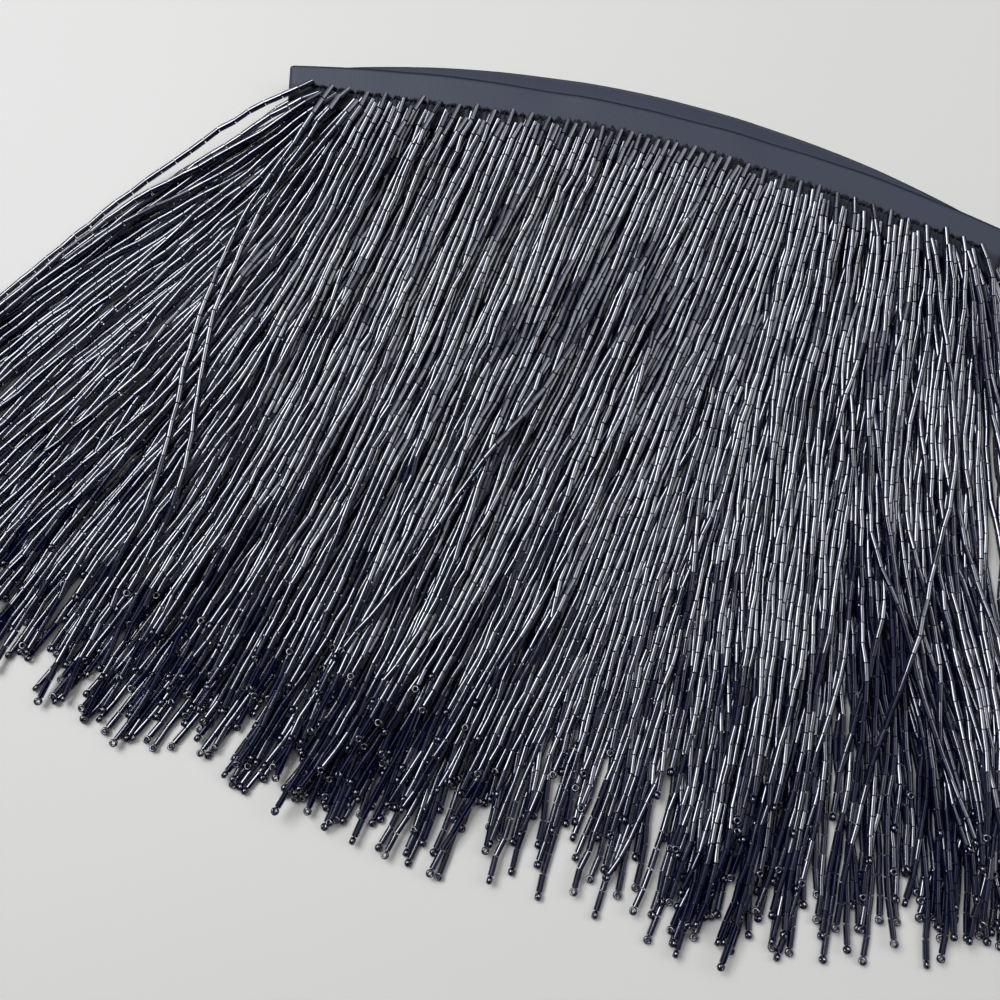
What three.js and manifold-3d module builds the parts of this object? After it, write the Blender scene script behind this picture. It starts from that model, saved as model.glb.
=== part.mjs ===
import * as THREE from 'three';
import { mergeVertices } from 'three/addons/utils/BufferGeometryUtils.js';
import Module from 'manifold-3d';

// A length of beaded fringe trim, laid down in four layers. All sizes are in millimetres.
// A satin ribbon runs back and forth along X and carries glass-beaded strands that hang
// towards -Y. The strands of each layer are combed to one side and rest on the layer below,
// and those of the lowest layer lie on the floor at z = 0.

const manifold = await Module();
manifold.setup();

// Ribbon: it lies in a shallow arch, so its upper edge is an arc seen from above.
const ribbon = {
  width: 20,
  thickness: 1,
  edgeRadius: 560,     // of the upper edge
  crownX: 5,           // where the arch is highest
  crownY: 140,
  left: -101,          // where the layers turn back on the left
  right: 148,          // and on the right
  stepsAlong: 13,      // facets along one layer
  stepsInFold: 6,      // facets round one fold
};

// Towards its folds the ribbon is drawn together: by this share, over this length.
const drawnIn = { left: 0.4, leftReach: 60, right: 0.2, rightReach: 70 };

// The strands are sewn on along one line, under the upper edge.
const sewing = {
  below: 11,           // from the upper edge down to the line
  bandWidth: 2.2,      // the row of stitches that holds the strands
  bandHeight: 2,
  rootDepth: 1.2,      // how far a strand reaches into the stitches
  stepsAlong: 14,
};

const strand = {
  count: 75,           // in each layer
  width: 1.8,
  height: 1.9,
  longest: 250,
  firstX: -93.5,
  lastX: 142.5,
};

const clearance = 0.3;
const rootLift = 0.05;    // of a strand inside its row of stitches
const restGap = 0.4;      // between layers where only strands lie
const restPitch = strand.height + restGap;
const ribbonPitch = ribbon.thickness + sewing.bandHeight + 2 * clearance;
const swellPower = 0.8;   // below 1 the ribbon's bow is fuller towards its ends
const weldDistance = 1e-4;

// One row for each layer, from the floor up. bow is how far its ribbon bends out past the
// upper edge of the others, droop how far that part hangs down. shift moves its strands
// along by a share of their spacing, shortest is the least share of the full length, and
// phase shifts the waves. sway adds degrees to the lean of all its strands, leftRoot and
// left to those at the left end, and low is how far their tips follow the column lowTip.
const layers = [
  { name: 'fringe_bottom', bow: 0, droop: 0, shift: 0.5, shortest: 0.9, phase: 0,
    sway: 1, leftRoot: -8, left: 6, low: 0.6 },
  { name: 'fringe_third', bow: 0, droop: 0, shift: 0.25, shortest: 0.87, phase: 1.9,
    sway: -2, leftRoot: 2, left: 7, low: 1 },
  { name: 'fringe_second', bow: 9, droop: 2.4, shift: 0.75, shortest: 0.82, phase: 3.7,
    sway: 2, leftRoot: -9, left: -2, low: 0.3 },
  { name: 'fringe_front', bow: 0, droop: 0, shift: 0, shortest: 0.78, phase: 5.2,
    sway: 0, leftRoot: 0, left: 0, low: 0 },
];

// How far the strands lean to the left, in degrees from -Y, by where they are sewn on.
// reach is the share of their length that isn't taken up by small bends.
const combing = [
  { at: -95, root: 37, middle: 41, tip: 36, lowTip: 36, reach: 1 },
  { at: -85, root: 34, middle: 38, tip: 34, lowTip: 34, reach: 1 },
  { at: -76, root: 28, middle: 30, tip: 31, lowTip: 31, reach: 1 },
  { at: -62, root: 20, middle: 24, tip: 28, lowTip: 28, reach: 1 },
  { at: -40, root: 17, middle: 20, tip: 25, lowTip: 26, reach: 1 },
  { at: 0, root: 17, middle: 18, tip: 24, lowTip: 23, reach: 1 },
  { at: 40, root: 17, middle: 18, tip: 22, lowTip: 20, reach: 1 },
  { at: 64, root: 16, middle: 17, tip: 19, lowTip: 15, reach: 1 },
  { at: 84, root: 9, middle: 7, tip: 11, lowTip: 5, reach: 0.99 },
  { at: 104, root: 4, middle: 0, tip: 1, lowTip: -6, reach: 0.97 },
  { at: 121, root: 2, middle: -8, tip: -24, lowTip: -10, reach: 0.94 },
  { at: 135, root: -12, middle: -15, tip: -21, lowTip: -18, reach: 0.91 },
  { at: 145, root: -22, middle: -18, tip: -19, lowTip: -20, reach: 0.88 },
];
const fan = { left: 45, root: 24 };   // how far in, and down, left and leftRoot reach
const rootHold = 1.5;                 // share of that reach in which leftRoot fades out

// Stations down a strand: distance from its root, and how much of the ribbon's height is left.
const stations = [
  { down: 0, fall: 1 },
  { down: 12.5, fall: 1 },
  { down: 37, fall: 0.3 },
  { down: 80, fall: 0 },
  { down: 135, fall: 0 },
  { down: 192, fall: 0 },
  { down: 250, fall: 0 },
];

const wave = { height: 1.6, length: 150, drift: 190, start: 80 };   // soft side waves

const satin = new THREE.MeshStandardMaterial({ color: 0x4a4f5a, roughness: 0.45, metalness: 0 });
const glass = new THREE.MeshStandardMaterial({ color: 0x090b12, roughness: 0.15, metalness: 0 });

const { clamp, degToRad, lerp: mix } = THREE.MathUtils;

// An even spread of values between 0 and 1 that looks irregular from strand to strand.
function scatter(number) {
  const turned = Math.sin(number * 12.9898 + 4.1414) * 43758.5453;
  return turned - Math.floor(turned);
}

// The combing table's value in one column, for a strand that is sewn on at x.
function combed(x, name) {
  const inside = clamp(x, combing[0].at, combing.at(-1).at);
  const next = Math.max(1, combing.findIndex((row) => row.at >= inside));
  const low = combing[next - 1];
  const high = combing[next];
  return mix(low[name], high[name], (inside - low.at) / (high.at - low.at));
}

// Zero at both folds and one over the middle of the ribbon.
function swell(x) {
  const share = clamp((x - ribbon.left) / (ribbon.right - ribbon.left), 0, 1);
  return Math.sin(Math.PI * share) ** swellPower;
}

// How much of its width the ribbon keeps at x.
function openness(x) {
  const nearLeft = clamp(1 - (x - ribbon.left) / drawnIn.leftReach, 0, 1);
  const nearRight = clamp(1 - (ribbon.right - x) / drawnIn.rightReach, 0, 1);
  return 1 - drawnIn.left * nearLeft ** 2 - drawnIn.right * nearRight ** 2;
}

// A point that is "below" millimetres under the upper edge, at x along the crown's tangent.
function onArch(layer, x, below) {
  const angle = (x - ribbon.crownX) / ribbon.edgeRadius;
  const radius = ribbon.edgeRadius - below * openness(x) + layer.bow * swell(x);
  const centreY = ribbon.crownY - ribbon.edgeRadius;
  return { x: ribbon.crownX + radius * Math.sin(angle), y: centreY + radius * Math.cos(angle) };
}

function geometryFrom(points, triangles) {
  const geometry = new THREE.BufferGeometry();
  geometry.setAttribute('position', new THREE.Float32BufferAttribute(points, 3));
  geometry.setIndex(triangles);
  return geometry;
}

// Joins each row of rings into a closed skin. The rings turn anticlockwise when they are
// seen from the end of their row.
function skins(rows) {
  const points = [];
  const triangles = [];
  for (const rings of rows) {
    const first = points.length / 3;
    const sides = rings[0].length;
    rings.flat().forEach((point) => points.push(point.x, point.y, point.z));
    for (let ring = 0; ring + 1 < rings.length; ring += 1) {
      for (let side = 0; side < sides; side += 1) {
        const a = first + ring * sides + side;
        const b = first + ring * sides + ((side + 1) % sides);
        triangles.push(a, b, b + sides, a, b + sides, a + sides);
      }
    }
    const last = first + (rings.length - 1) * sides;
    for (let side = 1; side + 1 < sides; side += 1) {
      triangles.push(first, first + side + 1, first + side);
      triangles.push(last, last + side, last + side + 1);
    }
  }
  return geometryFrom(points, triangles);
}

// Height of the ribbon's underside at one of its layers.
function ribbonHeight(level, x, below) {
  const layer = layers[level];
  const share = Math.max(0, 1 - below / (sewing.below - sewing.bandWidth));
  return level * ribbonPitch - layer.droop * swell(x) * share * share;
}

// The ribbon runs left along the top layer and back along the next one down, four layers
// in all. Each ring is its cross section: three points across the back, three across the face.
function makeRibbon() {
  const half = ribbon.thickness / 2;
  const across = [0, sewing.below - sewing.bandWidth, ribbon.width];
  const outline = across.map((below) => ({ below, side: -1 }))
    .concat(across.map((below) => ({ below, side: 1 })).reverse());
  const rings = [];
  const addRing = (level, middleX, heightOf, turn) => {
    rings.push(outline.map(({ below, side }) => {
      const x = middleX + side * half * Math.sin(turn);
      const z = heightOf(below) + side * half * Math.cos(turn);
      return { ...onArch(layers[level], x, below), z };
    }));
  };
  for (let level = layers.length - 1; level >= 0; level -= 1) {
    const leftwards = (layers.length - 1 - level) % 2 === 0;
    const from = leftwards ? ribbon.right : ribbon.left;
    const to = leftwards ? ribbon.left : ribbon.right;
    for (let step = 0; step <= ribbon.stepsAlong; step += 1) {
      const x = mix(from, to, step / ribbon.stepsAlong);
      addRing(level, x, (below) => ribbonHeight(level, x, below) + half, leftwards ? 0 : Math.PI);
    }
    if (level === 0) break;
    for (let step = 1; step < ribbon.stepsInFold; step += 1) {
      const turn = (Math.PI * step) / ribbon.stepsInFold;
      const out = (leftwards ? -1 : 1) * Math.sin(turn) * ribbonPitch / 2;
      const z = level * ribbonPitch + half - (1 - Math.cos(turn)) * ribbonPitch / 2;
      addRing(level, to + out, () => z, leftwards ? -turn : Math.PI + turn);
    }
  }
  return skins([rings]);
}

// The row of stitches along the ribbon: a low bar that follows the arch.
function makeBand(level) {
  const layer = layers[level];
  const low = level * ribbonPitch + ribbon.thickness + clearance;
  const rings = [];
  for (let step = 0; step <= sewing.stepsAlong; step += 1) {
    const margin = strand.width;
    const x = mix(strand.firstX - margin, strand.lastX + margin, step / sewing.stepsAlong);
    const upper = onArch(layer, x, sewing.below - sewing.bandWidth / 2);
    const lower = onArch(layer, x, sewing.below + sewing.bandWidth / 2);
    rings.push([
      { ...lower, z: low }, { ...upper, z: low },
      { ...upper, z: low + sewing.bandHeight }, { ...lower, z: low + sewing.bandHeight },
    ]);
  }
  return skins([rings]);
}

// Lean to the left in radians, at a distance down the strand that is sewn on at x.
function lean(layer, x, down) {
  const upper = clamp((2 * down) / strand.longest, 0, 1);
  const lower = clamp((2 * down) / strand.longest - 1, 0, 1);
  const tip = mix(combed(x, 'tip'), combed(x, 'lowTip'), layer.low);
  const along = mix(mix(combed(x, 'root'), combed(x, 'middle'), upper), tip, lower);
  const nearRoot = clamp(rootHold - down / fan.root, 0, 1);
  const nearLeft = clamp(1 - (x - strand.firstX) / fan.left, 0, 1);
  return degToRad(along + layer.sway + nearLeft * mix(layer.left, layer.leftRoot, nearRoot));
}

// The route of one strand: the middle of its flat underside at each station.
function strandRoute(level, index) {
  const layer = layers[level];
  const x = mix(strand.firstX, strand.lastX, (index + layer.shift) / strand.count);
  const share = mix(layer.shortest, 1, scatter(level * 101 + index));
  const length = strand.longest * share * combed(x, 'reach');
  const near = level * ribbonPitch + ribbon.thickness + clearance + rootLift;
  const far = level * restPitch;
  const start = onArch(layer, x, sewing.below + sewing.bandWidth / 2);
  const bowed = layer.bow * swell(x);
  const place = { x: start.x, y: start.y };
  const firstLean = lean(layer, x, 0);
  const route = [{ x: place.x + sewing.rootDepth * Math.sin(firstLean),
    y: place.y + sewing.rootDepth * Math.cos(firstLean), z: near, turn: firstLean }];
  let reached = 0;
  for (const station of stations.slice(1)) {
    const down = Math.min(station.down + bowed, length);
    if (down <= reached) break;
    const turn = lean(layer, x, (reached + down) / 2);
    place.x -= (down - reached) * Math.sin(turn);
    place.y -= (down - reached) * Math.cos(turn);
    reached = down;
    const angle = 2 * Math.PI * (down / wave.length + x / wave.drift) + layer.phase;
    const side = wave.height * Math.min(1, down / wave.start) * Math.sin(angle);
    route.push({ x: place.x + side * Math.cos(turn), y: place.y - side * Math.sin(turn),
      z: mix(far, near, station.fall), turn });
  }
  return route;
}

// The three-sided cross sections of one strand, with the flat side down.
function strandRings(route) {
  return route.map((spot, number) => {
    const next = route[Math.min(number + 1, route.length - 1)];
    const turn = number < 2 ? spot.turn : (spot.turn + next.turn) / 2;
    const sideX = (Math.cos(turn) * strand.width) / 2;
    const sideY = (-Math.sin(turn) * strand.width) / 2;
    return [
      { x: spot.x + sideX, y: spot.y + sideY, z: spot.z },
      { x: spot.x, y: spot.y, z: spot.z + strand.height },
      { x: spot.x - sideX, y: spot.y - sideY, z: spot.z },
    ];
  });
}

function makeStrands(level) {
  const indices = Array.from({ length: strand.count }, (_, index) => index);
  return skins(indices.map((index) => strandRings(strandRoute(level, index))));
}

function toManifold(geometry) {
  const merged = mergeVertices(geometry, weldDistance);
  return new manifold.Manifold(new manifold.Mesh({
    numProp: 3,
    vertProperties: new Float32Array(merged.attributes.position.array),
    triVerts: new Uint32Array(merged.index.array),
  }));
}

function fromManifold(solid) {
  const mesh = solid.getMesh();
  return geometryFrom(Array.from(mesh.vertProperties), Array.from(mesh.triVerts));
}

function makeFringe(level) {
  return fromManifold(toManifold(makeStrands(level)).add(toManifold(makeBand(level))));
}

function named(name, geometry, material) {
  const mesh = new THREE.Mesh(geometry, material);
  mesh.name = name;
  geometry.computeVertexNormals();
  return mesh;
}

const trim = new THREE.Group();
trim.add(named('ribbon', makeRibbon(), satin));
layers.forEach((layer, level) => trim.add(named(layer.name, makeFringe(level), glass)));

// The origin is the middle of the trim's footprint, on the floor.
const box = new THREE.Box3().setFromObject(trim);
trim.position.set(-(box.min.x + box.max.x) / 2, -(box.min.y + box.max.y) / 2, 0);

export default trim;
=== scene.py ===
import math

import bpy
import numpy as np
from mathutils import Matrix, Vector


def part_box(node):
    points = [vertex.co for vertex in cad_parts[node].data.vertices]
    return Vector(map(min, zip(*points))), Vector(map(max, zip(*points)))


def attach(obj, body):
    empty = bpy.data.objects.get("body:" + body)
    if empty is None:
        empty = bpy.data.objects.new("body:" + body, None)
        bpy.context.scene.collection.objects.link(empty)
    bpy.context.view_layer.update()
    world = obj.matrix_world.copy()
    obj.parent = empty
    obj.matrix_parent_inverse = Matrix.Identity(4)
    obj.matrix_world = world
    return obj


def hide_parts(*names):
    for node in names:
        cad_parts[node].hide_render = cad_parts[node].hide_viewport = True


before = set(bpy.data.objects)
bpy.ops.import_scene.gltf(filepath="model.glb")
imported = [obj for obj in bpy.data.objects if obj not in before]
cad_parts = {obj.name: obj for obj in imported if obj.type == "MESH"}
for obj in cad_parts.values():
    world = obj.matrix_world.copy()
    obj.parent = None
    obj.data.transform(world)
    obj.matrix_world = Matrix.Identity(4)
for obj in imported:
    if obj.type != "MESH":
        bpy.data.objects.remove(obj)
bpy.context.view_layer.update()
print("frame loaded:", ", ".join(sorted(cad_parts)))

mm = 0.001    # the sizes below are millimetres, and Blender's are metres


# How the trim lies: the ribbon runs back and forth in a shallow arch, in four layers.
lay = {
    "edgeRadius": 560.0,     # of the arch's upper edge
    "crownX": 5.0,           # where the arch is highest
    "crownY": 140.0,
    "left": -101.0,          # where the layers turn back
    "right": 148.0,
    "pitch": 3.6,            # from one layer of ribbon to the next
    "solidThickness": 1.0,   # of the frame's ribbon
    "width": 20.0,
    "gatherLeft": 0.4,       # share of its width that the ribbon loses towards a fold
    "gatherLeftReach": 60.0,
    "gatherRight": 0.2,
    "gatherRightReach": 70.0,
    "sewnBelow": 11.0,       # from the upper edge down to the sewn line
    "bowPower": 0.8,         # below 1 a bow is fuller than a sine
}

# One row for each layer, from the floor up. bow and droop move its ribbon's free edge out and
# down, and shift moves its roots along by a share of their spacing. shortest is the share of
# the length that its shortest strands have. contact is how close the middles of two of its
# strands come where one lies on the other, as beads slip a little past each other. phase is
# where its waves begin, sway adds degrees to the lean, and low is how far it follows lowLean.
layers = [
    {"name": "Bottom", "node": "fringe_bottom", "bow": 0.0, "droop": 0.0, "shift": 0.5,
     "shortest": 0.9, "contact": 1.5, "phase": 0.0, "sway": 3.0, "low": 0.8},
    {"name": "Third", "node": "fringe_third", "bow": 0.0, "droop": 0.0, "shift": 0.25,
     "shortest": 0.87, "contact": 1.5, "phase": 1.9, "sway": -2.0, "low": 1.0},
    {"name": "Second", "node": "fringe_second", "bow": 9.0, "droop": 2.4, "shift": 0.75,
     "shortest": 0.82, "contact": 1.8, "phase": 3.7, "sway": 1.0, "low": 0.45},
    {"name": "Front", "node": "fringe_front", "bow": 0.0, "droop": 0.0, "shift": 0.0,
     "shortest": 0.78, "contact": 2.1, "phase": 5.2, "sway": 0.0, "low": 0.0},
]

# Lean of the strands to the left, in degrees: a column for each place where they are sewn on
# and a row for each distance down. lowLean is the same for the layers below, as far as their
# low says. reach is the share of the full length by place.
combing = {
    "at": [-95, -85, -76, -62, -40, 0, 40, 64, 84, 104, 121, 135, 145],
    "down": [0, 40, 85, 130, 170, 210, 250],
    "lean": [
        [57, 43, 20, 11, 11, 9, 16, 12, -1, -6, -8, -22, -36],
        [43, 47, 17, 10, 13, 13, 11, 9, 1, -3, -3, -10, -22],
        [34, 42, 26, 14, 13, 6, 8, 10, 0, -3, -4, -9, -14],
        [36, 40, 30, 18, 7, 9, 17, 15, 0, 1, -26, -18, -9],
        [34, 33, 28, 14, 16, 15, 19, 10, -9, 0, -24, -7, -5],
        [32, 31, 24, 14, 27, 17, 13, 6, 2, 0, -13, -2, -5],
        [29, 28, 22, 19, 27, 22, 18, 12, 20, 6, -3, -9, -13],
    ],
    "lowLean": [
        [49, 43, 37, 28, 15, 9, 16, 12, -1, -6, -8, -22, -36],
        [42, 41, 35, 27, 16, 13, 11, 9, 1, -3, -3, -10, -22],
        [36, 39, 34, 28, 17, 6, 8, 10, 0, -3, -4, -9, -14],
        [35, 38, 32, 27, 16, 9, 17, 15, 0, 1, -25, -18, -9],
        [32, 32, 29, 25, 17, 15, 18, 16, -8, 0, -24, -3, -5],
        [27, 27, 26, 21, 22, 10, 16, 6, 2, 1, -13, 3, -6],
        [21, 21, 22, 21, 23, 22, 19, 3, 20, 5, -4, -9, -14],
    ],
    "reach": [0.9, 0.9, 0.91, 0.92, 0.955, 0.975, 1, 1, 1, 1, 0.93, 0.89, 0.87],
}


# Zero at both folds and one over the middle: a sine of the share of the length, to a power.
def swell(x):
    share = np.clip((x - lay["left"]) / (lay["right"] - lay["left"]), 0.0, 1.0)
    return np.abs(np.sin(np.pi * share)) ** lay["bowPower"]


# One less a share that grows with the square of the nearness to each fold.
def openness(x):
    nearLeft = np.clip(1 - (x - lay["left"]) / lay["gatherLeftReach"], 0.0, 1.0)
    nearRight = np.clip(1 - (lay["right"] - x) / lay["gatherRightReach"], 0.0, 1.0)
    return 1 - lay["gatherLeft"] * nearLeft ** 2 - lay["gatherRight"] * nearRight ** 2


# A point at the angle x / radius round the arch's centre, "below" millimetres nearer to it than
# the upper edge, and the swell of the bow farther out.
def onArch(x, below, bow):
    angle = (x - lay["crownX"]) / lay["edgeRadius"]
    radius = lay["edgeRadius"] - below * openness(x) + bow * swell(x)
    centreY = lay["crownY"] - lay["edgeRadius"]
    return lay["crownX"] + radius * np.sin(angle), centreY + radius * np.cos(angle)


# The arch's own box, from its formula, is set over the box of the frame's ribbon.
def findShift():
    out = lay["pitch"] / 2 + lay["solidThickness"] / 2
    x = np.linspace(lay["left"] - out, lay["right"] + out, 500)    # half a millimetre apart
    edges = [onArch(x, below, 0.0) for below in (0.0, lay["width"])]
    low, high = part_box("ribbon")
    middleX = (min(e[0].min() for e in edges) + max(e[0].max() for e in edges)) / 2
    lowestY = min(e[1].min() for e in edges)
    return np.array([(low.x + high.x) / 2 / mm - middleX, low.y / mm - lowestY, 0.0])


shift = findShift()
print("the trim's own zero lies at", np.round(shift, 2), "mm in the frame")


# Moves points from the trim's own millimetres into the frame's metres.
def toFrame(points):
    return (points + shift) * mm


# The camera stands nearly over the trim and looks along the lean of its front strands. clip is
# the nearest and the farthest that it sees, in metres.
view = {"elevation": 79.0, "azimuth": 12.5, "fieldOfView": 48.0, "distance": 365.8, "clip": (0.01, 20.0)}


# Stands back from the trim's own zero by the distance, along the azimuth and the elevation.
def makeCamera():
    azimuth, elevation = math.radians(view["azimuth"]), math.radians(view["elevation"])
    back = Vector((math.sin(azimuth) * math.cos(elevation), -math.cos(azimuth) * math.cos(elevation),
                   math.sin(elevation)))
    data = bpy.data.cameras.new("camera")
    data.sensor_fit = "HORIZONTAL"
    data.angle = math.radians(view["fieldOfView"])
    data.clip_start, data.clip_end = view["clip"]
    camera = bpy.data.objects.new("camera", data)
    bpy.context.scene.collection.objects.link(camera)
    camera.location = Vector(toFrame(np.zeros(3))) + back * view["distance"] * mm
    right = Vector((math.cos(azimuth), math.sin(azimuth), 0.0))
    up = back.cross(right)
    camera.rotation_mode = "QUATERNION"
    camera.rotation_quaternion = Matrix([right, up, back]).transposed().to_quaternion()
    bpy.context.scene.camera = camera


makeCamera()
print("camera placed")


# Reads "#rrggbb" as the linear colour that shaders use.
def linear(code, alpha=1.0):
    parts = [int(code[i:i + 2], 16) / 255 for i in (1, 3, 5)]
    return [p / 12.92 if p <= 0.04045 else ((p + 0.055) / 1.055) ** 2.4 for p in parts] + [alpha]


# Adds one node: plain settings go to its properties, values and links to its inputs.
def addNode(tree, kind, inputs=None, **settings):
    node = tree.nodes.new(kind)
    for name, value in settings.items():
        setattr(node, name, value)
    for name, value in (inputs or {}).items():
        if isinstance(value, bpy.types.NodeSocket):
            tree.links.new(value, node.inputs[name])
        else:
            node.inputs[name].default_value = value
    return node


# Starts a material with an empty node tree.
def newMaterial(name):
    material = bpy.data.materials.new(name)
    material.use_nodes = True
    material.node_tree.nodes.clear()
    return material, material.node_tree


# Makes one piece from points in the trim's millimetres. Each group of faces is an array with
# a row of corner numbers for each face, and the word smooth or flat.
def newPiece(name, points, groups, material, values=None):
    mesh = bpy.data.meshes.new(name)
    corners = np.concatenate([faces.ravel() for faces, _ in groups]).astype(np.int32)
    counts = np.concatenate([np.full(len(faces), faces.shape[1]) for faces, _ in groups])
    smooth = np.concatenate([np.full(len(faces), word == "smooth") for faces, word in groups])
    mesh.vertices.add(len(points))
    mesh.vertices.foreach_set("co", toFrame(points).astype(np.float32).ravel())
    mesh.loops.add(len(corners))
    mesh.loops.foreach_set("vertex_index", corners)
    mesh.polygons.add(len(counts))
    mesh.polygons.foreach_set("loop_start", (np.cumsum(counts) - counts).astype(np.int32))
    mesh.update(calc_edges=True)
    mesh.polygons.foreach_set("use_smooth", smooth)
    edges = np.zeros(len(corners), np.int32)
    mesh.loops.foreach_get("edge_index", edges)
    sharp = np.zeros(len(mesh.edges), bool)
    sharp[edges[np.repeat(~smooth, counts)]] = True    # a flat face keeps a crisp rim
    mesh.edges.foreach_set("use_edge_sharp", sharp)
    for key, data in (values or {}).items():
        kind, field = ("FLOAT_VECTOR", "vector") if data.ndim == 2 else ("FLOAT", "value")
        attribute = mesh.attributes.new(key, kind, "POINT")
        attribute.data.foreach_set(field, data.astype(np.float32).ravel())
    mesh.update()
    mesh.materials.append(material)
    piece = bpy.data.objects.new(name, mesh)
    bpy.context.scene.collection.objects.link(piece)
    return piece


# Corner numbers of the four-cornered faces between neighbouring rings of points, with the
# first ring of each body at a multiple of ringCount * sides.
def ringFaces(bodyCount, ringCount, sides):
    ring = np.arange(ringCount - 1)[:, None] * sides
    near = np.arange(sides)[None, :]
    far = (near + 1) % sides
    faces = np.stack([ring + near, ring + sides + near, ring + sides + far, ring + far], -1)
    starts = np.arange(bodyCount)[:, None, None] * ringCount * sides
    return (starts + faces.reshape(1, -1, 4)).reshape(-1, 4)


# Corner numbers of the end faces of the same bodies: the first ring, and the last one reversed.
def endFaces(bodyCount, ringCount, sides):
    starts = np.arange(bodyCount)[:, None] * ringCount * sides
    first = starts + np.arange(sides)[None, :]
    last = starts + (ringCount - 1) * sides + np.arange(sides)[::-1][None, :]
    return np.concatenate([first, last])


# Directions across a line: one level, to its side, and one that makes a right angle with both.
def acrossLine(direction):
    side = np.stack([direction[..., 1], -direction[..., 0], np.zeros(direction.shape[:-1])], -1)
    side /= np.maximum(np.linalg.norm(side, axis=-1, keepdims=True), 1e-9)
    return side, np.cross(side, direction)


# Strands: where each is sewn on, and how its height goes down from there.
strands = {
    "count": 75,             # roots in each layer, with one strand over and one under at each
    "firstX": -93.5,
    "lastX": 142.5,
    "longest": 250.0,
    "radius": 1.0,
    "nestPitch": 2.0,        # height that one more layer adds where strands nest
    "rootHeight": 2.1,       # of a strand's middle over the underside of its own ribbon
    "fallAt": [0.0, 12.5, 37.0, 80.0],
    "fall": [1.0, 1.0, 0.3, 0.0],    # share of the root's height that is left at these distances
    "slope": 0.18,           # steepest rise or fall of a strand that rides over others
    "lowRowAt": [-100.0, -20.0, 5.0, 45.0, 65.0, 145.0],
    "lowRow": [5.0, 4.6, 0.6, 0.6, 4.4, 5.0],    # every other strand starts this much lower
    "startSpread": 0.8,      # and each of them a little higher or lower
    "underStart": 8.0,       # the strands below start at the ribbon's lower edge
    "frontUnderStart": 2.5,  # and in the front layer just under the stitches
    "underSpread": (-1.0, 2.0),
}

# How the lean of each strand wanders about the combing, in degrees.
wander = {
    "lengths": (170.0, 85.0, 45.0),
    "sizes": (1.6, 0.9, 0.4),
    "stretch": (0.8, 1.25),  # of each length, at random
    "atRoot": 2.2,           # more where the stitches turn the strand
    "rootReach": 20.0,
    "looseAt": [-95.0, -60.0, 60.0, 110.0, 145.0],
    "loose": [1.6, 1.2, 1.1, 2.8, 3.6],    # how many times more it wanders at the ends
}

# Waves that neighbours share: a long one along them, and two across them that gather them in
# clumps and in smaller tufts.
waves = {
    "height": 1.6,
    "length": 150.0,         # down the strands
    "drift": 190.0,          # and along the ribbon
    "start": 80.0,           # how far down it reaches its full height
    "clumpHeight": 0.6,
    "clumpEvery": 27.0,
    "clumpDrift": 210.0,
    "tuftHeight": 0.3,
    "tuftEvery": 11.5,
    "tuftDrift": 130.0,
    "clumpStart": 40.0,
}

# Strands that were left lying across the others: the place of the root, and the lean in
# degrees at each distance down.
strays = [
    {"root": -87.0, "down": [0, 45, 62, 78, 93, 107, 145, 155, 250],
     "lean": [21, 18, 11, 6, 10, 1, 0, 9, 14]},
    {"root": -82.5, "down": [0, 38, 50, 85, 97, 109, 122, 137, 150, 250],
     "lean": [23, 21, 9, 8, 1, -4, -6, 2, 6, 12]},
    {"root": 108.0, "down": [0, 100, 118, 190, 250], "lean": [-4, -5, -29, -31, -20]},
    {"root": 124.0, "down": [0, 60, 80, 160, 250], "lean": [-20, -16, 4, 8, -4]},
    {"root": 30.0, "down": [0, 90, 104, 160, 250], "lean": [12, 14, 27, 24, 20]},
]

# Beads: pieces of drawn glass rod, one after another on the thread.
beads = {
    "pitch": 6.0,
    "gap": 0.26,
    "gapSpread": (-0.06, 0.12),
    "sides": 8,
    "oval": 0.06,
    "thinnest": 0.96,
    "thickest": 1.05,
    "sideKink": 0.19,        # how far the joint of two beads lies beside its strand's line
    "riseKink": 0.09,        # and over it
    "noiseSpan": 50.0,       # each bead takes its waves from its own place in the noise
    "noiseRun": 0.5,         # and moves little in it from end to end, so they are lengthwise
}

rng = np.random.default_rng(20)


# An even spread between 0 and 1 that looks irregular: the fraction of a large sine, whose three
# numbers are arbitrary.
def scatter(number):
    turned = np.sin(number * 12.9898 + 4.1414) * 43758.5453
    return turned - np.floor(turned)


# How a strand comes to rest on those below it.
pile = {
    "cell": 0.4,             # of the map of heights
    "margin": 6.0,
    "floorHeight": 1.12,     # lowest place of a strand's middle
    "overRise": 0.7,         # how much higher the front layer's upper strands start
    "slideRounds": 12,
    "slideStep": 0.16,
    "slideGain": 2.0,
    "slideMost": 1.5,
    "topSlideMost": 0.8,     # for the upper strands of the front layer
    "slideFrom": 2.0,        # a strand can't slide at its root
    "slideOver": 14.0,
    "slideSoftening": 31,
    "softening": 21,
    "lift": (0.1, 1.5),      # a hump just below the stitches
    "liftAt": 8.0,
    "liftReach": 7.0,
    "ceiling": 0.2,          # near its root a strand isn't lifted over its neighbours
    "ceilingFrom": 7.0,
    "ceilingGrowth": 0.25,
    "ceilingPower": 1.5,
    "slack": 4.0,            # farther down it may lie this much lower than its own fall
    "slackOver": 40.0,
}


# Weighted mean along a strand over a hump-shaped window.
def softened(values, window):
    weights = np.hanning(window + 2)[1:-1]
    half = window // 2
    padded = np.concatenate([np.repeat(values[:1], half), values, np.repeat(values[-1:], half)])
    return np.convolve(padded, weights / weights.sum(), "valid")


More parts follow.
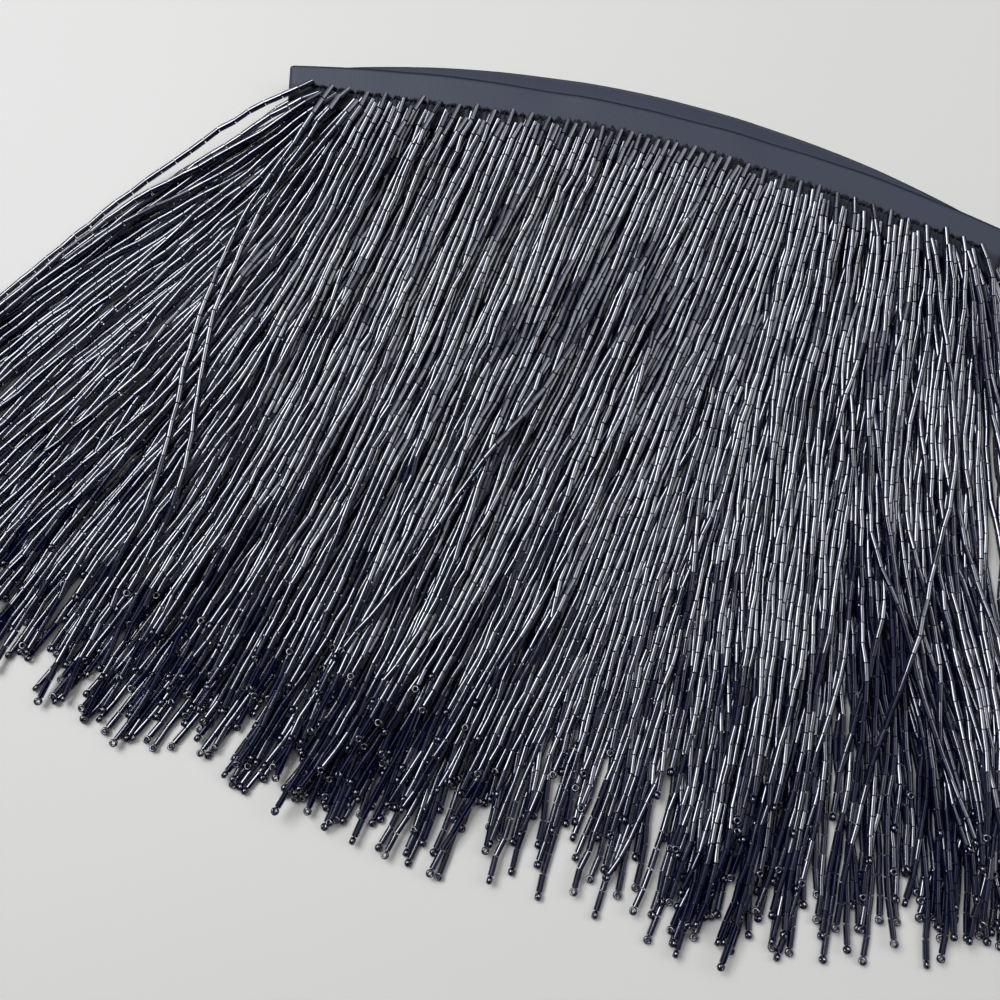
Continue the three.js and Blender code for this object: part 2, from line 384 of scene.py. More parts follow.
# Lean in degrees: the combing table, read in straight lines between its places and between
# its distances down, plus the layer's own sway.
def leanOf(layer, x, down):
    rows = np.array(combing["lean"]) * (1 - layer["low"]) + np.array(combing["lowLean"]) * layer["low"]
    columns = np.stack([np.interp(x[:, 0], combing["at"], row) for row in rows], -1)
    shares = np.stack([np.interp(down[0], combing["down"], unit) for unit in np.eye(len(rows))])
    return columns @ shares + layer["sway"]


# Wander along a strand: sines of set wavelengths, each with its own random phase and size.
def wanderOf(count, down):
    total = np.zeros((count, down.shape[-1]))
    for length, size in zip(wander["lengths"], wander["sizes"]):
        phase = rng.uniform(0, 2 * np.pi, (count, 1))
        weight = rng.normal(0, 1, (count, 1)) * size
        stretched = length * rng.uniform(*wander["stretch"], (count, 1))
        total += weight * np.sin(2 * np.pi * down / stretched + phase)
    return total


# Shared waves to the side: sines of the place and of the distance down that grow from the root.
def sideWaves(phase, x, down):
    turn = 2 * np.pi * (down / waves["length"] + x / waves["drift"]) + phase
    side = waves["height"] * np.minimum(1, down / waves["start"]) * np.sin(turn)
    turn = 2 * np.pi * (x / waves["clumpEvery"] + down / waves["clumpDrift"]) + 2 * phase
    clump = waves["clumpHeight"] * np.sin(turn)
    turn = 2 * np.pi * (x / waves["tuftEvery"] - down / waves["tuftDrift"]) + phase
    clump = clump + waves["tuftHeight"] * np.sin(turn)
    return side + clump * np.minimum(1, down / waves["clumpStart"])


# Places of the roots of one layer along the ribbon: whole numbers are the strands on top,
# and halves the ones under them.
def rootsOf(level):
    index = np.arange(2 * strands["count"])[:, None] / 2
    span = strands["lastX"] - strands["firstX"]
    return index, strands["firstX"] + span * (index + layers[level]["shift"]) / strands["count"]


# Plan of one layer: each strand steps down by 1 mm at a time at its lean, from its root, and
# the shared waves then move it to its side.
def planOf(level):
    layer = layers[level]
    index, x = rootsOf(level)
    count = len(index)
    under = index % 1 > 0
    front = level == len(layers) - 1
    down = np.arange(0.0, strands["longest"] + 1.0)[None, :]
    lowRow = np.interp(x, strands["lowRowAt"], strands["lowRow"]) * (index % 2 == 1)
    start = lowRow + rng.uniform(-strands["startSpread"], strands["startSpread"], x.shape)
    underStart = strands["frontUnderStart"] if front else strands["underStart"]
    start = np.where(under, underStart + rng.uniform(*strands["underSpread"], x.shape), start)
    rootX, rootY = onArch(x, lay["sewnBelow"] + start, layer["bow"])
    loose = np.interp(x, wander["looseAt"], wander["loose"])
    lean = leanOf(layer, x, down) + loose * wanderOf(count, down)
    lean = lean + rng.normal(0, wander["atRoot"], (count, 1)) * np.exp(-down / wander["rootReach"])
    late = np.zeros(count, bool)
    for row in strays if front else []:
        farOff = np.abs(x[:, 0] - row["root"]) + 10.0 * under[:, 0]    # so that one on top is taken
        nearest = np.argmin(farOff)
        lean[nearest] = softened(np.interp(down[0], row["down"], row["lean"]), pile["slideSoftening"])
        late[nearest] = True
    angle = np.radians(lean)
    side = sideWaves(layer["phase"], x, down)
    planX = rootX - np.cumsum(np.sin(angle), axis=1) + np.sin(angle[:, :1]) + side * np.cos(angle)
    planY = rootY - np.cumsum(np.cos(angle), axis=1) + np.cos(angle[:, :1]) - side * np.sin(angle)
    share = scatter(level * 101 + index)    # 101 keeps the layers' numbers apart
    share = layer["shortest"] + (1 - layer["shortest"]) * share
    length = strands["longest"] * share * np.interp(x, combing["at"], combing["reach"]) - start
    return {"x": planX, "y": planY, "length": length[:, 0], "start": start[:, 0], "under": under[:, 0],
            "late": late}


# Slides a strand sideways into the groove that it meets: some steps down the side slope of the
# heights, each softened along its length.
def slideInto(heightAt, x, y, most):
    sideX, sideY = -np.gradient(y), np.gradient(x)
    free = np.clip((np.arange(len(x)) - pile["slideFrom"]) / pile["slideOver"], 0.0, 1.0)
    slide = np.zeros(len(x))
    for step in range(pile["slideRounds"]):
        left, right = slide - pile["cell"], slide + pile["cell"]
        drop = heightAt(x + sideX * right, y + sideY * right)
        drop = drop - heightAt(x + sideX * left, y + sideY * left)
        slide = slide - pile["slideStep"] * np.clip(drop * pile["slideGain"], -1, 1)
        slide = softened(np.clip(slide, -most, most), pile["slideSoftening"]) * free
    return x + sideX * slide, y + sideY * slide


# Height of a strand's middle, each millimetre down: that of what it touches or of its own fall
# from the root, whichever is more, with rises and falls drawn out to the steepest slope.
def restOn(touched, start, near, far, lift):
    down = np.arange(float(len(touched)))
    fromRoot = down + start
    beyond = np.maximum(0.0, fromRoot - pile["ceilingFrom"])
    ceiling = near + pile["ceiling"] + pile["ceilingGrowth"] * beyond ** pile["ceilingPower"]
    touched = np.minimum(touched, ceiling)
    held = far + (near - far) * np.interp(fromRoot, strands["fallAt"], strands["fall"])
    held = held + lift * np.exp(-((down - pile["liftAt"]) / pile["liftReach"]) ** 2)
    need = np.maximum(touched, held - pile["slack"] * np.clip(fromRoot / pile["slackOver"], 0, 1))
    rise = strands["slope"] * down
    ahead = np.maximum.accumulate(need + rise) - rise
    behind = np.maximum.accumulate((need - rise)[::-1])[::-1] + rise
    return np.maximum(softened(np.maximum(ahead, behind), pile["softening"]), pile["floorHeight"])


# Lets the strands down one after another on a map of heights. Each stamps its own height on the
# map as half a ball at every millimetre, as wide as the contact of its layer, so that the next
# one's middle lies one contact length from its own.
def settle(plans):
    cell, lowest = pile["cell"], pile["floorHeight"]
    low = np.array([min(p[axis].min() for p in plans) for axis in "xy"]) - pile["margin"]
    high = np.array([max(p[axis].max() for p in plans) for axis in "xy"]) + pile["margin"]
    size = np.ceil((high - low) / cell).astype(int)
    ground = np.full(size[0] * size[1], lowest)

    def cellsAt(x, y):
        return ((x - low[0]) / cell).astype(int) * size[1] + ((y - low[1]) / cell).astype(int)

    def heightAt(x, y):
        return ground[cellsAt(x, y)]

    for level, plan in enumerate(plans):
        top = level == len(plans) - 1
        contact = layers[level]["contact"]
        offsets = np.arange(-int(contact / cell), int(contact / cell) + 1)
        stampX, stampY = np.meshgrid(offsets, offsets, indexing="ij")
        apart = (stampX ** 2 + stampY ** 2) * cell ** 2
        inside = apart < contact ** 2
        stamp = (stampX * size[1] + stampY)[inside]
        stampRise = np.sqrt(contact ** 2 - apart[inside])
        far = lowest + level * strands["nestPitch"]
        near = level * lay["pitch"] + strands["rootHeight"] + top * pile["overRise"] * ~plan["under"]
        count = len(plan["length"])
        plan["z"] = np.zeros_like(plan["x"])
        lift = np.where(plan["under"], 0.0, rng.uniform(*pile["lift"], count)) * top
        order = rng.permutation(count)    # the lower strands first, and the strays last
        order = order[np.argsort(plan["late"][order] * 2 + ~plan["under"][order], kind="stable")]
        most = np.where(plan["under"] | (not top), pile["slideMost"], pile["topSlideMost"])
        for strand in order:
            end = int(plan["length"][strand]) + 1
            x, y = slideInto(heightAt, plan["x"][strand, :end], plan["y"][strand, :end], most[strand])
            at = cellsAt(x, y)
            height = restOn(ground[at], plan["start"][strand], near[strand], far, lift[strand])
            plan["x"][strand, :end] = x
            plan["y"][strand, :end] = y
            plan["z"][strand, :end] = height
            plan["z"][strand, end:] = height[-1]
            np.maximum.at(ground, (at[:, None] + stamp).ravel(), (height[:, None] + stampRise).ravel())
    return plans


plans = settle([planOf(level) for level in range(len(layers))])
print("strands settled:", sum(len(p["length"]) for p in plans), "the pile is",
      round(float(max(p["z"].max() for p in plans)) + 1.0, 1), "mm high")


# Joints between the beads of one layer: the strand's points at every bead's length down,
# each moved a little to the side and up, as the beads sit loosely on their thread.
def jointsOf(plan):
    pitch = int(beads["pitch"])
    points = np.stack([plan["x"], plan["y"], plan["z"]], -1)[:, ::pitch]
    kink = rng.normal(0, 1, points.shape) * np.array([beads["sideKink"], beads["sideKink"], 0.0])
    kink[..., 2] = np.abs(rng.normal(0, beads["riseKink"], points.shape[:2]))
    counts = (plan["length"] // pitch).astype(int)
    return points + kink, counts


joints = [jointsOf(plan) for plan in plans]


# Drawn blue-black glass with a lustre coat: it mirrors the lights sharply and more strongly
# than plain glass, and its faint lengthwise waves break the reflection up from bead to bead.
glassLook = {
    "colour": "#01021B",
    "worn": "#040622",       # a few beads are paler and duller
    "ior": 1.95,
    "smoothest": 0.1,
    "roughest": 0.24,
    "waveScale": 1.3,        # the noise is read in bead radii of 1 mm: waves 0.8 mm apart
    "waveStrength": 0.35,
    "waveDepth": 0.12,
}


def blackGlass():
    material, tree = newMaterial("drawn black glass with a lustre coat")
    wrap = addNode(tree, "ShaderNodeAttribute", attribute_name="wrap")
    tone = addNode(tree, "ShaderNodeAttribute", attribute_name="tone")
    noise = addNode(tree, "ShaderNodeTexNoise", {
        "Vector": wrap.outputs["Vector"], "Scale": glassLook["waveScale"], "Detail": 1.0})
    bump = addNode(tree, "ShaderNodeBump", {
        "Height": noise.outputs["Fac"], "Strength": glassLook["waveStrength"],
        "Distance": glassLook["waveDepth"] * mm})
    colour = addNode(tree, "ShaderNodeMix", {
        "Factor": tone.outputs["Fac"], "A": linear(glassLook["colour"]), "B": linear(glassLook["worn"])},
        data_type="RGBA")
    rough = addNode(tree, "ShaderNodeMapRange", {
        "Value": tone.outputs["Fac"], "To Min": glassLook["smoothest"], "To Max": glassLook["roughest"]})
    shader = addNode(tree, "ShaderNodeBsdfPrincipled", {
        "Base Color": colour.outputs["Result"], "Roughness": rough.outputs["Result"],
        "Normal": bump.outputs["Normal"], "IOR": glassLook["ior"]})
    addNode(tree, "ShaderNodeOutputMaterial", {"Surface": shader.outputs["BSDF"]})
    return material


glass = blackGlass()


# Beads of one layer: from one joint to the next a straight prism, with a ring of points at each
# end. Each is pressed a little oval and turned at random.
def makeBeads(level):
    points, counts = joints[level]
    strand = np.repeat(np.arange(len(counts)), counts)
    bead = np.concatenate([np.arange(count) for count in counts])
    top, bottom = points[strand, bead], points[strand, bead + 1]
    along = bottom - top
    length = np.linalg.norm(along, axis=1, keepdims=True)
    along /= length
    number, sides = len(strand), beads["sides"]
    margin = beads["gap"] / 2 + rng.uniform(*beads["gapSpread"], (number, 1))
    side, up = acrossLine(along)
    angle = 2 * np.pi * np.arange(sides) / sides
    turn = angle + rng.uniform(0, 2 * np.pi, (number, 1))
    girth = strands["radius"] * rng.uniform(beads["thinnest"], beads["thickest"], (number, 1))
    girth = girth * (1 + beads["oval"] * rng.uniform(-1, 1, (number, 1)) * np.cos(2 * angle))
    across = np.cos(turn)[..., None] * side[:, None, :] + np.sin(turn)[..., None] * up[:, None, :]
    first = (top + along * margin)[:, None, :] + girth[..., None] * across
    last = first + (along * (length - 2 * margin))[:, None, :]
    rings = np.stack([first, last], 1)
    tone = np.repeat(rng.uniform(0, 1, number) ** 2, 2 * sides)
    wrap = np.zeros(rings.shape)
    wrap[..., 0] = np.cos(angle)
    wrap[..., 1] = np.sin(angle)
    wrap[:, 1, :, 2] = beads["noiseRun"]
    wrap += rng.uniform(0, beads["noiseSpan"], (number, 1, 1, 1))
    groups = [(endFaces(number, 2, sides), "flat"), (ringFaces(number, 2, sides), "smooth")]
    piece = newPiece("beads" + layers[level]["name"], rings.reshape(-1, 3), groups, glass,
                     {"tone": tone, "wrap": wrap.reshape(-1, 3)})
    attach(piece, "root")
    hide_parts(layers[level]["node"])
    print(piece.name, number, "beads on", len(counts), "strands")
    return piece


beadPieces = [makeBeads(level) for level in range(len(layers))]


# End beads: a small round ring bead that the thread turns back through.
endBead = {
    "radius": 0.92,
    "wall": 0.47,
    "halfLength": 0.82,
    "tuck": 0.1,             # how far the last bugle's end goes into its rim
    "around": 10,
    "section": 5,
    "noiseScale": 0.4,
}


# Rings with an oval section. The hole's axis stands across the strand at a random roll.
def makeEndBeads():
    centres, alongs = [], []
    half = endBead["radius"] + endBead["wall"]
    for points, counts in joints:
        rows = np.arange(len(counts))
        last, before = points[rows, counts], points[rows, counts - 1]
        along = last - before
        along /= np.linalg.norm(along, axis=1, keepdims=True)
        centre = last + along * (half - endBead["tuck"])
        centre[:, 2] = np.maximum(centre[:, 2], half)
        centres.append(centre)
        alongs.append(along)
    centre, along = np.concatenate(centres), np.concatenate(alongs)
    number, steps, sides = len(centre), endBead["around"], endBead["section"]
    side, up = acrossLine(along)
    roll = rng.uniform(0, np.pi, (number, 1))
    axis = np.cos(roll) * up + np.sin(roll) * side
    other = np.cross(axis, along)
    around = 2 * np.pi * np.arange(steps) / steps
    section = 2 * np.pi * np.arange(sides) / sides
    out = endBead["radius"] + endBead["wall"] * np.cos(section)[None, :]
    ringX = (out * np.cos(around)[:, None])[None, :, :, None] * along[:, None, None, :]
    ringY = (out * np.sin(around)[:, None])[None, :, :, None] * other[:, None, None, :]
    ringZ = (endBead["halfLength"] * np.sin(section))[None, None, :, None] * axis[:, None, None, :]
    points = (centre[:, None, None, :] + ringX + ringY + ringZ).reshape(-1, 3)
    ring = np.arange(steps)[:, None] * sides
    nextRing = np.roll(ring, -1, axis=0)
    near = np.arange(sides)[None, :]
    far = (near + 1) % sides
    faces = np.stack([ring + near, nextRing + near, nextRing + far, ring + far], -1).reshape(1, -1, 4)
    faces = (np.arange(number)[:, None, None] * steps * sides + faces).reshape(-1, 4)
    tone = np.repeat(rng.uniform(0, 0.5, number), steps * sides)
    piece = newPiece("endBeads", points, [(faces, "smooth")], glass,
                     {"tone": tone, "wrap": points * endBead["noiseScale"]})
    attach(piece, "root")
    print(piece.name, number)


makeEndBeads()


# The thread: a core through each strand, and a knot of small loops at each root.
threadWork = {
    "colour": "#06070E",
    "plyColour": "#12141E",
    "plyScale": 2600.0,      # plies 0.4 mm apart
    "plyDepth": 0.1,
    "coreRadius": 0.3,
    "coreSides": 3,
    "rootHeight": 1.0,       # of its first point over the underside of its ribbon
    "loopRadius": 0.24,
    "loopSides": 3,
    "loopSteps": 8,
    "frontLoops": 10,
    "hiddenLoops": 1,
    "wide": (0.9, 2.6),      # of a loop, and how high it reaches above the beads
    "high": (0.6, 2.4),
    "lean": 0.8,
    "rise": (0.2, 1.2),      # off the ribbon
    "scatter": 0.45,         # of the loops of a knot along the ribbon
    "footBelow": 0.3,        # the sewn line
    "footOver": 0.15,        # the ribbon
    "knotAt": [-95.0, -20.0, 0.0, 50.0, 62.0, 145.0],
    "knot": [0.35, 0.45, 1.0, 1.0, 0.6, 0.4],    # size of the knots at these places
}


# Spun polyester thread: matt, nearly black, with a faint ply.
def sewingThread():
    material, tree = newMaterial("spun polyester thread")
    place = addNode(tree, "ShaderNodeTexCoord")
    ply = addNode(tree, "ShaderNodeTexNoise", {
        "Vector": place.outputs["Object"], "Scale": threadWork["plyScale"]})
    colour = addNode(tree, "ShaderNodeMix", {
        "Factor": ply.outputs["Fac"], "A": linear(threadWork["colour"]),
        "B": linear(threadWork["plyColour"])}, data_type="RGBA")
    bump = addNode(tree, "ShaderNodeBump", {
        "Height": ply.outputs["Fac"], "Strength": 0.6, "Distance": threadWork["plyDepth"] * mm})
    shader = addNode(tree, "ShaderNodeBsdfPrincipled", {
        "Base Color": colour.outputs["Result"], "Roughness": 0.8, "Normal": bump.outputs["Normal"],
        "Sheen Weight": 0.05})
    addNode(tree, "ShaderNodeOutputMaterial", {"Surface": shader.outputs["BSDF"]})
    return material


thread = sewingThread()


# Points of tubes of one radius along rows of points.
def tubesAlong(lines, radius, sides):
    direction = np.gradient(lines, axis=1)
    direction /= np.maximum(np.linalg.norm(direction, axis=-1, keepdims=True), 1e-9)
    side, up = acrossLine(direction)
    turn = 2 * np.pi * np.arange(sides) / sides
    points = lines[:, :, None, :] + radius * (np.cos(turn)[:, None] * side[:, :, None, :]
                                              + np.sin(turn)[:, None] * up[:, :, None, :])
    return points.reshape(-1, 3)


# The thread of each strand, from the stitches down through its beads to the end bead. Strands
# with the same number of beads are made together.
def makeCoreThreads():
    allPoints, quads, ends, start = [], [], [], 0
    sides = threadWork["coreSides"]
    for level, (points, counts) in enumerate(joints):
        placeX, placeY = onArch(rootsOf(level)[1][:, 0], lay["sewnBelow"], layers[level]["bow"])
        placeZ = np.full(len(counts), level * lay["pitch"] + threadWork["rootHeight"])
        points = np.concatenate([np.stack([placeX, placeY, placeZ], -1)[:, None, :], points], 1)
        for count in np.unique(counts):
            lines = points[counts == count][:, :count + 2]
            number, rings = lines.shape[0], lines.shape[1]
            allPoints.append(tubesAlong(lines, threadWork["coreRadius"], sides))
            quads.append(ringFaces(number, rings, sides) + start)
            ends.append(endFaces(number, rings, sides) + start)
            start += number * rings * sides
    piece = newPiece("coreThreads", np.concatenate(allPoints),
                     [(np.concatenate(ends), "flat"), (np.concatenate(quads), "smooth")], thread)
    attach(piece, "root")
    print(piece.name, "made")


makeCoreThreads()


# The satin ribbon: its cloth, and how it lies in the layers.
satin = {
    "shade": ("#292C34", "#323540"),    # it is a little lighter in some places than in others
    "weft": "#333642",
    "edge": "#1A1C22",
    "paintedShade": "#12141A",
    "threadPitch": 0.9,      # drawn coarser: real threads are 0.12 mm apart, and wouldn't show
    "threadDepth": 0.08,
    "selvedge": 0.7,
    "paintedShadeFrom": 10.2,       # painted shade: the cloth is darkened from the stitches down, where the strands shade it
    "paintedShadeTo": 12.5,
    "thickness": 0.5,
    "stepsAlong": 150,
    "stepsInFold": 14,
    "stepsAcross": 16,
    "droopOver": 8.8,        # the free band that bows and droops
    "ripple": 0.35,
    "ripples": [(1.0, 13.0, 0.0), (0.7, 7.3, 1.0), (0.4, 4.1, 2.0)],    # size, length, phase
    "rippleOver": 13.0,
    "hiddenRipple": 0.35,    # share of it in the layers below
    "pucker": 0.12,          # the stitches pull it down
    "puckerOver": 1.6,
    "puckerEvery": 3.147,
}


# Woven satin: a broad soft sheen and fine threads across, with a firm darker selvedge. From the stitches
# down its colour is darkened by painted shade, standing in for the strands' shadow.
def wovenSatin():
    material, tree = newMaterial("woven satin")
    uv = addNode(tree, "ShaderNodeUVMap", uv_map="cloth")
    weft = addNode(tree, "ShaderNodeTexWave", {
        "Vector": uv.outputs["UV"], "Scale": 0.314 / satin["threadPitch"],    # bands of 0.314 at scale 1
        "Distortion": 1.2, "Detail": 2.0, "Detail Scale": 2.0}, wave_type="BANDS", bands_direction="X")
    cloud = addNode(tree, "ShaderNodeTexNoise", {"Vector": uv.outputs["UV"], "Scale": 0.05, "Detail": 3.0})
    shade = addNode(tree, "ShaderNodeMix", {
        "Factor": cloud.outputs["Fac"], "A": linear(satin["shade"][0]), "B": linear(satin["shade"][1])},
        data_type="RGBA")
    woven = addNode(tree, "ShaderNodeMix", {
        "Factor": weft.outputs["Fac"], "A": shade.outputs["Result"], "B": linear(satin["weft"])},
        data_type="RGBA")
    place = addNode(tree, "ShaderNodeSeparateXYZ", {"Vector": uv.outputs["UV"]})
    inward = addNode(tree, "ShaderNodeMapRange", {
        "Value": place.outputs["Y"], "From Min": satin["selvedge"] / 2, "From Max": satin["selvedge"]})
    edged = addNode(tree, "ShaderNodeMix", {
        "Factor": inward.outputs["Result"], "A": linear(satin["edge"]), "B": woven.outputs["Result"]},
        data_type="RGBA")
    # painted shade: the colour darkens from the stitches down, standing in for the shadow of the strands
    sewn = addNode(tree, "ShaderNodeMapRange", {
        "Value": place.outputs["Y"], "From Min": satin["paintedShadeFrom"], "From Max": satin["paintedShadeTo"],
        "To Max": 0.7})
    colour = addNode(tree, "ShaderNodeMix", {
        "Factor": sewn.outputs["Result"], "A": edged.outputs["Result"], "B": linear(satin["paintedShade"])},
        data_type="RGBA")
    bump = addNode(tree, "ShaderNodeBump", {
        "Height": weft.outputs["Fac"], "Strength": 0.25, "Distance": satin["threadDepth"] * mm})
    shader = addNode(tree, "ShaderNodeBsdfPrincipled", {
        "Base Color": colour.outputs["Result"], "Roughness": 0.5, "Normal": bump.outputs["Normal"],
        "Specular IOR Level": 0.2, "Sheen Weight": 0.05, "Sheen Roughness": 0.4})
    addNode(tree, "ShaderNodeOutputMaterial", {"Surface": shader.outputs["BSDF"]})
    return material


# Stations along the ribbon, from its right end in the top layer down to its end on the floor:
# the place along the arch, the layer, and the turn, which goes through half a circle in a fold.
def ribbonStations():
    x, level, turn = [], [], []
    for upper in range(len(layers) - 1, -1, -1):
        leftwards = (len(layers) - 1 - upper) % 2 == 0
        ends = (lay["right"], lay["left"]) if leftwards else (lay["left"], lay["right"])
        x += list(np.linspace(*ends, satin["stepsAlong"] + 1))
        level += [upper] * (satin["stepsAlong"] + 1)
        turn += [0.0 if leftwards else math.pi] * (satin["stepsAlong"] + 1)
        if upper:
            fold = math.pi * np.arange(1, satin["stepsInFold"]) / satin["stepsInFold"]
            x += [ends[1]] * len(fold)
            level += [upper] * len(fold)
            turn += list(fold if leftwards else math.pi - fold)
    return np.array(x), np.array(level), np.array(turn)


# The ribbon as one sheet: its stations, and rows of points across at each. A fold is half a
# circle whose radius is half the pitch. The free band droops with the square of the distance
# from the stitches, its ripples are sines, and the pucker is a sine within a bell curve.
def makeRibbon():
    x, level, turn = ribbonStations()
    below = np.linspace(0, lay["width"], satin["stepsAcross"] + 1)
    folded = (turn > 0) & (turn < math.pi)
    radius = lay["pitch"] / 2
    out = np.where(folded, np.sin(turn) * radius, 0.0) * np.where(x > 0, 1, -1)
    drop = np.where(folded, (1 - np.cos(np.where(x > 0, math.pi - turn, turn))) * radius, 0.0)
    bow = np.array([row["bow"] for row in layers])[level]
    droop = np.array([row["droop"] for row in layers])[level]
    share = np.clip(1 - below / satin["droopOver"], 0, None)
    placeX, placeY = onArch((x + out)[:, None], below[None, :], bow[:, None])
    base = level * lay["pitch"] + lay["solidThickness"] / 2 - drop
    z = base[:, None] - (droop * swell(x))[:, None] * share[None, :] ** 2
    free = np.where(level == len(layers) - 1, 1.0, satin["hiddenRipple"])[:, None]
    free = free * swell(x)[:, None]
    ripple = sum(size * np.sin(x / length + phase) for size, length, phase in satin["ripples"])
    loose = np.clip(1 - below / satin["rippleOver"], 0, 1)
    z = z + satin["ripple"] * free * ripple[:, None] * loose[None, :] ** 1.5
    sewn = np.exp(-((below - lay["sewnBelow"]) / satin["puckerOver"]) ** 2)
    stitch = sewn[None, :] * np.cos(2 * np.pi * x / satin["puckerEvery"])[:, None]
    z = z - satin["pucker"] * stitch * np.where(folded, 0, 1)[:, None]
    points = np.stack([placeX, placeY, z], -1)
    rows, across = points.shape[:2]
    near = (np.arange(rows - 1)[:, None] * across + np.arange(across - 1)[None, :])[..., None]
    faces = (near + np.array([0, 1, across + 1, across])).reshape(-1, 4)
    piece = newPiece("satinRibbon", points.reshape(-1, 3), [(faces, "smooth")], wovenSatin())
    step = np.linalg.norm(np.diff(points[:, across // 2], axis=0), axis=1)
    run = np.concatenate([[0.0], np.cumsum(step)])
    uv = np.stack(np.broadcast_arrays(run[:, None], below[None, :]), -1).reshape(-1, 2)
    cloth = piece.data.uv_layers.new(name="cloth")
    cloth.data.foreach_set("uv", uv[faces.ravel()].astype(np.float32).ravel())
    body = piece.modifiers.new("thickness", "SOLIDIFY")
    body.thickness = satin["thickness"] * mm
    body.offset = 0.0
    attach(piece, "root")
    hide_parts("ribbon")
    print(piece.name, "is", round(float(run[-1])), "mm long")


makeRibbon()


# Stitches: a knot of small loops at each root. A loop is half a sine wave on the ribbon that
# also rises off it by the root of half a sine wave.
def makeStitches():
    allLines = []
    steps, sides = threadWork["loopSteps"], threadWork["loopSides"]
    share = np.linspace(0, 1, steps + 1)[None, :]
    arc = np.sin(np.pi * share)
    for level, layer in enumerate(layers):
        x = rootsOf(level)[1][::2]
        size = np.interp(x, threadWork["knotAt"], threadWork["knot"])
        top = level * lay["pitch"] + lay["solidThickness"] / 2 + satin["thickness"] / 2
        front = level == len(layers) - 1
        for turn in range(threadWork["frontLoops"] if front else threadWork["hiddenLoops"]):
            wide = rng.uniform(*threadWork["wide"], x.shape) * (0.5 + 0.5 * size)
            high = rng.uniform(*threadWork["high"], x.shape) * size
            lean = rng.uniform(-threadWork["lean"], threadWork["lean"], x.shape)
            middle = x + rng.normal(0, threadWork["scatter"], x.shape)
            across = middle + (share - 0.5) * wide + lean * arc
            below = lay["sewnBelow"] + threadWork["footBelow"] - high * arc
            placeX, placeY = onArch(across, below, layer["bow"])
            placeZ = top + threadWork["footOver"] + rng.uniform(*threadWork["rise"], x.shape) * arc ** 0.5
            allLines.append(np.stack([placeX, placeY, placeZ], -1))
    lines = np.concatenate(allLines)
    points = tubesAlong(lines, threadWork["loopRadius"], sides)
    groups = [(endFaces(len(lines), steps + 1, sides), "flat"),
              (ringFaces(len(lines), steps + 1, sides), "smooth")]
    piece = newPiece("stitches", points, groups, thread)
    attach(piece, "root")
    print(piece.name, len(lines), "loops")


makeStitches()


# The floor: a large plain pale sheet under the trim. Matt paint on board is even to the eye,
# with no gloss, and its shade drifts a little over half a metre.
board = {"half": 3000.0, "dark": "#B6B3AB", "light": "#BAB8B1", "driftScale": 2.0}


def makeFloor():
    material, tree = newMaterial("matt painted board")
    place = addNode(tree, "ShaderNodeTexCoord")
    drift = addNode(tree, "ShaderNodeTexNoise", {
        "Vector": place.outputs["Object"], "Scale": board["driftScale"]})
    colour = addNode(tree, "ShaderNodeMix", {
        "Factor": drift.outputs["Fac"], "A": linear(board["dark"]), "B": linear(board["light"])},
        data_type="RGBA")
    shader = addNode(tree, "ShaderNodeBsdfPrincipled", {
        "Base Color": colour.outputs["Result"], "Roughness": 0.6})
    addNode(tree, "ShaderNodeOutputMaterial", {"Surface": shader.outputs["BSDF"]})
    half = board["half"]
    corners = np.array([[-half, -half, 0], [half, -half, 0], [half, half, 0], [-half, half, 0]])
    floor = newPiece("floor", corners, [(np.array([[0, 1, 2, 3]]), "flat")], material)


makeFloor()


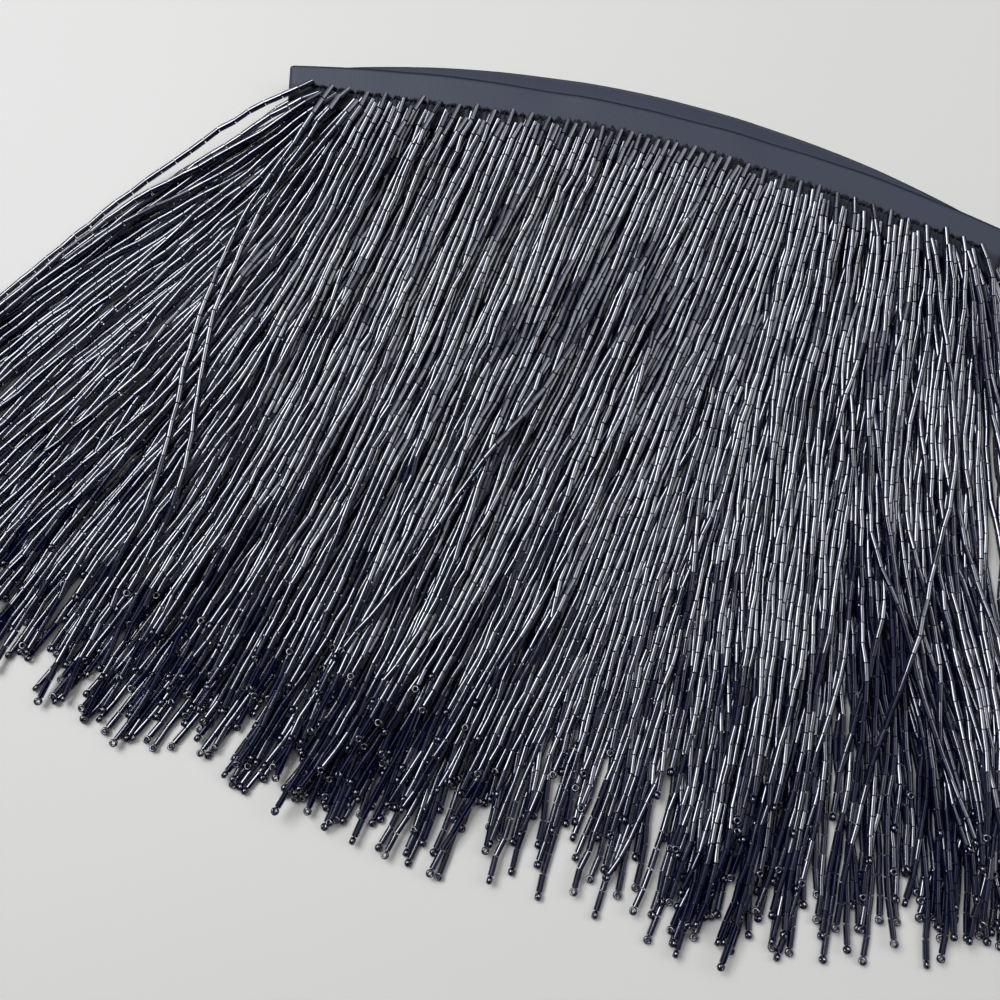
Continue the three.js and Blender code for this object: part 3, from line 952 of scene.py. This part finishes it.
# Soft studio light: a tent of broad panels over the trim, and two narrow bright strips. The
# angles are in degrees: across goes from straight up to the right over the strands, and
# along goes up the picture. wide and long are the panel's own angles as seen from the trim.
studio = {
    "distance": 2.2,         # of the panels, in metres
    "strandLean": 20.0,
    "colour": "#F4F7FF",
    "roomColour": "#A8B4FF",
    "room": 0.006,
}
panels = {
    "tentLeft": {"across": -46.0, "along": 23.0, "wide": 46.0, "long": 28.0, "radiance": 0.8},
    "tentTop": {"across": 0.0, "along": 23.0, "wide": 46.0, "long": 28.0, "radiance": 2.0},
    "tentRight": {"across": 46.0, "along": 23.0, "wide": 46.0, "long": 28.0, "radiance": 1.2},
    "tentBack": {"across": 0.0, "along": 46.0, "wide": 90.0, "long": 18.0, "radiance": 0.6},
    "leftStrip": {"across": -32.0, "along": 3.0, "wide": 27.0, "long": 32.0, "radiance": 14.2},
    "rightStrip": {"across": 38.0, "along": 28.0, "wide": 22.0, "long": 20.0, "radiance": 2.4},
    "apron": {"across": 0.0, "along": -5.0, "wide": 100.0, "long": 22.0, "radiance": 0.25},
    "lowFill": {"across": -20.0, "along": -38.0, "wide": 26.0, "long": 50.0, "radiance": 0.48},
}


# A panel faces the trim from its direction. The power of a lamp that shines to one side is its
# radiance times pi times its area.
def makeLights():
    lean = math.radians(studio["strandLean"])
    rightward = Vector((math.cos(lean), -math.sin(lean), 0.0))
    upward = Vector((math.sin(lean), math.cos(lean), 0.0))
    for name, row in panels.items():
        across, along = math.radians(row["across"]), math.radians(row["along"])
        flat = rightward * math.sin(across) + Vector((0, 0, 1)) * math.cos(across)
        towards = flat * math.cos(along) + upward * math.sin(along)
        lengthwise = upward * math.cos(along) - flat * math.sin(along)
        sideways = lengthwise.cross(towards)
        data = bpy.data.lights.new(name, "AREA")
        data.shape = "RECTANGLE"
        data.size = 2 * studio["distance"] * math.tan(math.radians(row["wide"]) / 2)
        data.size_y = 2 * studio["distance"] * math.tan(math.radians(row["long"]) / 2)
        data.color = linear(studio["colour"])[:3]
        data.energy = math.pi * row["radiance"] * data.size * data.size_y
        panel = bpy.data.objects.new(name, data)
        bpy.context.scene.collection.objects.link(panel)
        panel.location = towards * studio["distance"]
        panel.rotation_mode = "QUATERNION"
        axes = Matrix([sideways, towards.cross(sideways), towards]).transposed()
        panel.rotation_quaternion = axes.to_quaternion()
        panel.visible_camera = False
    world = bpy.data.worlds.new("room")
    bpy.context.scene.world = world
    world.use_nodes = True
    world.node_tree.nodes.clear()
    back = addNode(world.node_tree, "ShaderNodeBackground", {
        "Color": linear(studio["roomColour"]), "Strength": studio["room"]})
    addNode(world.node_tree, "ShaderNodeOutputWorld", {"Surface": back.outputs["Background"]})


makeLights()
bpy.context.scene.view_settings.view_transform = "Standard"
print("floor and lights placed")
